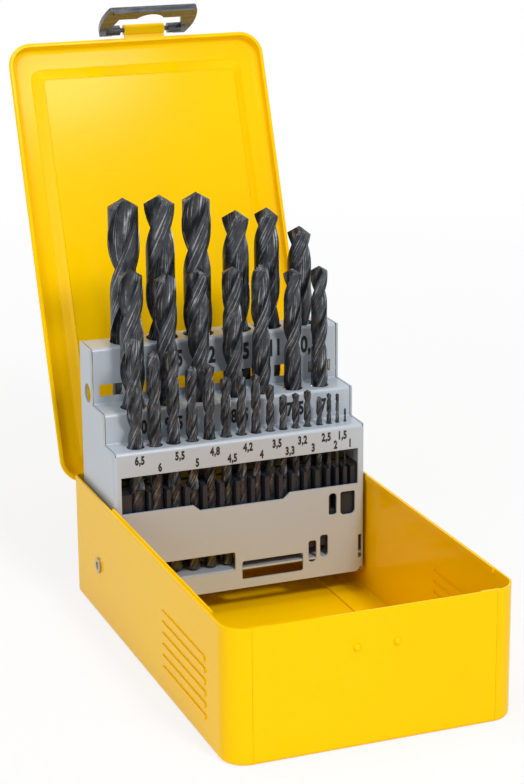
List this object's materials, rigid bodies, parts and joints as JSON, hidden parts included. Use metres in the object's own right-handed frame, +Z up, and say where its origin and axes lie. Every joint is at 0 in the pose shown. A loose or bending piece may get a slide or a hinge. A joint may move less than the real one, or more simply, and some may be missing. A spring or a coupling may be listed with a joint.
{
  "type": "drill bit case",
  "caption": "Sheet-metal drill bit case with a hinged lid, a clip latch and a folding stepped stand that holds twist drills in rows by size.",
  "frame": {"origin": "the middle of the case's flat bottom, on the surface it stands on", "axes": "+Z up, -Y the case's front wall, X across the case with the smallest drills at +X"},
  "size_m": [0.1162, 0.2669, 0.2364],
  "materials": {
    "yellow_paint": "semi-gloss",
    "grey_paint": "satin",
    "drill_steel": "black oxide",
    "zinc_steel": "zinc plated",
    "black_plastic": "moulded"
  },
  "bodies": {
    "root": {"case_tray": "yellow_paint", "case_side_left": "yellow_paint", "case_side_right": "yellow_paint", "hinge_leaf_case": "yellow_paint", "hinge_pin": "zinc_steel", "pivot_rivets": "zinc_steel", "pivot_washers": "zinc_steel"},
    "lid": {"lid_shell": "yellow_paint", "hinge_leaf_lid": "yellow_paint", "lid_lug": "yellow_paint"},
    "latch": {"latch_clip": "black_plastic"},
    "stand": {"stand_shell": "grey_paint", "base_shelf": "grey_paint", "middle_steps": "grey_paint", "shank_comb": "black_plastic", "rear_guide": "black_plastic"},
    "drill_06_5": {"drill_06_5": "drill_steel"},
    "drill_06_0": {"drill_06_0": "drill_steel"},
    "drill_05_5": {"drill_05_5": "drill_steel"},
    "drill_05_0": {"drill_05_0": "drill_steel"},
    "drill_04_8": {"drill_04_8": "drill_steel"},
    "drill_04_5": {"drill_04_5": "drill_steel"},
    "drill_04_2": {"drill_04_2": "drill_steel"},
    "drill_04_0": {"drill_04_0": "drill_steel"},
    "drill_03_5": {"drill_03_5": "drill_steel"},
    "drill_03_3": {"drill_03_3": "drill_steel"},
    "drill_03_2": {"drill_03_2": "drill_steel"},
    "drill_03_0": {"drill_03_0": "drill_steel"},
    "drill_02_5": {"drill_02_5": "drill_steel"},
    "drill_02_0": {"drill_02_0": "drill_steel"},
    "drill_01_5": {"drill_01_5": "drill_steel"},
    "drill_01_0": {"drill_01_0": "drill_steel"},
    "drill_10_0": {"drill_10_0": "drill_steel"},
    "drill_09_5": {"drill_09_5": "drill_steel"},
    "drill_09_0": {"drill_09_0": "drill_steel"},
    "drill_08_5": {"drill_08_5": "drill_steel"},
    "drill_08_0": {"drill_08_0": "drill_steel"},
    "drill_07_5": {"drill_07_5": "drill_steel"},
    "drill_07_0": {"drill_07_0": "drill_steel"},
    "drill_13_0": {"drill_13_0": "drill_steel"},
    "drill_12_5": {"drill_12_5": "drill_steel"},
    "drill_12_0": {"drill_12_0": "drill_steel"},
    "drill_11_5": {"drill_11_5": "drill_steel"},
    "drill_11_0": {"drill_11_0": "drill_steel"},
    "drill_10_5": {"drill_10_5": "drill_steel"}
  },
  "joints": [
    {"name": "stand_fold", "type": "hinge", "parent": "root", "child": "stand", "pos_m": [0, 0.0587, 0.023], "axis": [-1, 0, 0], "range_deg": [-90, 0]},
    {"name": "lid_hinge", "type": "hinge", "parent": "root", "child": "lid", "pos_m": [0, 0.0959, 0.0449], "axis": [-1, 0, 0], "range_deg": [-110, 0]},
    {"name": "latch_hinge", "type": "hinge", "parent": "lid", "child": "latch", "pos_m": [0, 0.17032, 0.2248], "axis": [-1, 0, 0], "range_deg": [-28, 120]},
    {"name": "drill_06_5_slide", "type": "slide", "parent": "stand", "child": "drill_06_5", "axis": [0, 0, 1], "range_m": [0, 0.0608]},
    {"name": "drill_06_0_slide", "type": "slide", "parent": "stand", "child": "drill_06_0", "axis": [0, 0, 1], "range_m": [0, 0.0588]},
    {"name": "drill_05_5_slide", "type": "slide", "parent": "stand", "child": "drill_05_5", "axis": [0, 0, 1], "range_m": [0, 0.0588]},
    {"name": "drill_05_0_slide", "type": "slide", "parent": "stand", "child": "drill_05_0", "axis": [0, 0, 1], "range_m": [0, 0.0598]},
    {"name": "drill_04_8_slide", "type": "slide", "parent": "stand", "child": "drill_04_8", "axis": [0, 0, 1], "range_m": [0, 0.0598]},
    {"name": "drill_04_5_slide", "type": "slide", "parent": "stand", "child": "drill_04_5", "axis": [0, 0, 1], "range_m": [0, 0.0598]},
    {"name": "drill_04_2_slide", "type": "slide", "parent": "stand", "child": "drill_04_2", "axis": [0, 0, 1], "range_m": [0, 0.0552]},
    {"name": "drill_04_0_slide", "type": "slide", "parent": "stand", "child": "drill_04_0", "axis": [0, 0, 1], "range_m": [0, 0.0552]},
    {"name": "drill_03_5_slide", "type": "slide", "parent": "stand", "child": "drill_03_5", "axis": [0, 0, 1], "range_m": [0, 0.0552]},
    {"name": "drill_03_3_slide", "type": "slide", "parent": "stand", "child": "drill_03_3", "axis": [0, 0, 1], "range_m": [0, 0.0552]},
    {"name": "drill_03_2_slide", "type": "slide", "parent": "stand", "child": "drill_03_2", "axis": [0, 0, 1], "range_m": [0, 0.0552]},
    {"name": "drill_03_0_slide", "type": "slide", "parent": "stand", "child": "drill_03_0", "axis": [0, 0, 1], "range_m": [0, 0.0506]},
    {"name": "drill_02_5_slide", "type": "slide", "parent": "stand", "child": "drill_02_5", "axis": [0, 0, 1], "range_m": [0, 0.05]},
    {"name": "drill_02_0_slide", "type": "slide", "parent": "stand", "child": "drill_02_0", "axis": [0, 0, 1], "range_m": [0, 0.041]},
    {"name": "drill_01_5_slide", "type": "slide", "parent": "stand", "child": "drill_01_5", "axis": [0, 0, 1], "range_m": [0, 0.0326]},
    {"name": "drill_01_0_slide", "type": "slide", "parent": "stand", "child": "drill_01_0", "axis": [0, 0, 1], "range_m": [0, 0.0334]},
    {"name": "drill_10_0_slide", "type": "slide", "parent": "stand", "child": "drill_10_0", "axis": [0, 0, 1], "range_m": [0, 0.081]},
    {"name": "drill_09_5_slide", "type": "slide", "parent": "stand", "child": "drill_09_5", "axis": [0, 0, 1], "range_m": [0, 0.0758]},
    {"name": "drill_09_0_slide", "type": "slide", "parent": "stand", "child": "drill_09_0", "axis": [0, 0, 1], "range_m": [0, 0.0758]},
    {"name": "drill_08_5_slide", "type": "slide", "parent": "stand", "child": "drill_08_5", "axis": [0, 0, 1], "range_m": [0, 0.0679]},
    {"name": "drill_08_0_slide", "type": "slide", "parent": "stand", "child": "drill_08_0", "axis": [0, 0, 1], "range_m": [0, 0.0679]},
    {"name": "drill_07_5_slide", "type": "slide", "parent": "stand", "child": "drill_07_5", "axis": [0, 0, 1], "range_m": [0, 0.0631]},
    {"name": "drill_07_0_slide", "type": "slide", "parent": "stand", "child": "drill_07_0", "axis": [0, 0, 1], "range_m": [0, 0.0631]},
    {"name": "drill_13_0_slide", "type": "slide", "parent": "stand", "child": "drill_13_0", "axis": [0, 0, 1], "range_m": [0, 0.0967]},
    {"name": "drill_12_5_slide", "type": "slide", "parent": "stand", "child": "drill_12_5", "axis": [0, 0, 1], "range_m": [0, 0.0967]},
    {"name": "drill_12_0_slide", "type": "slide", "parent": "stand", "child": "drill_12_0", "axis": [0, 0, 1], "range_m": [0, 0.0967]},
    {"name": "drill_11_5_slide", "type": "slide", "parent": "stand", "child": "drill_11_5", "axis": [0, 0, 1], "range_m": [0, 0.0967]},
    {"name": "drill_11_0_slide", "type": "slide", "parent": "stand", "child": "drill_11_0", "axis": [0, 0, 1], "range_m": [0, 0.0967]},
    {"name": "drill_10_5_slide", "type": "slide", "parent": "stand", "child": "drill_10_5", "axis": [0, 0, 1], "range_m": [0, 0.0967]}
  ],
  "couplings": [
    {"joint": "lid_hinge", "follows": "stand_fold", "ratio": 1.2222}
  ]
}
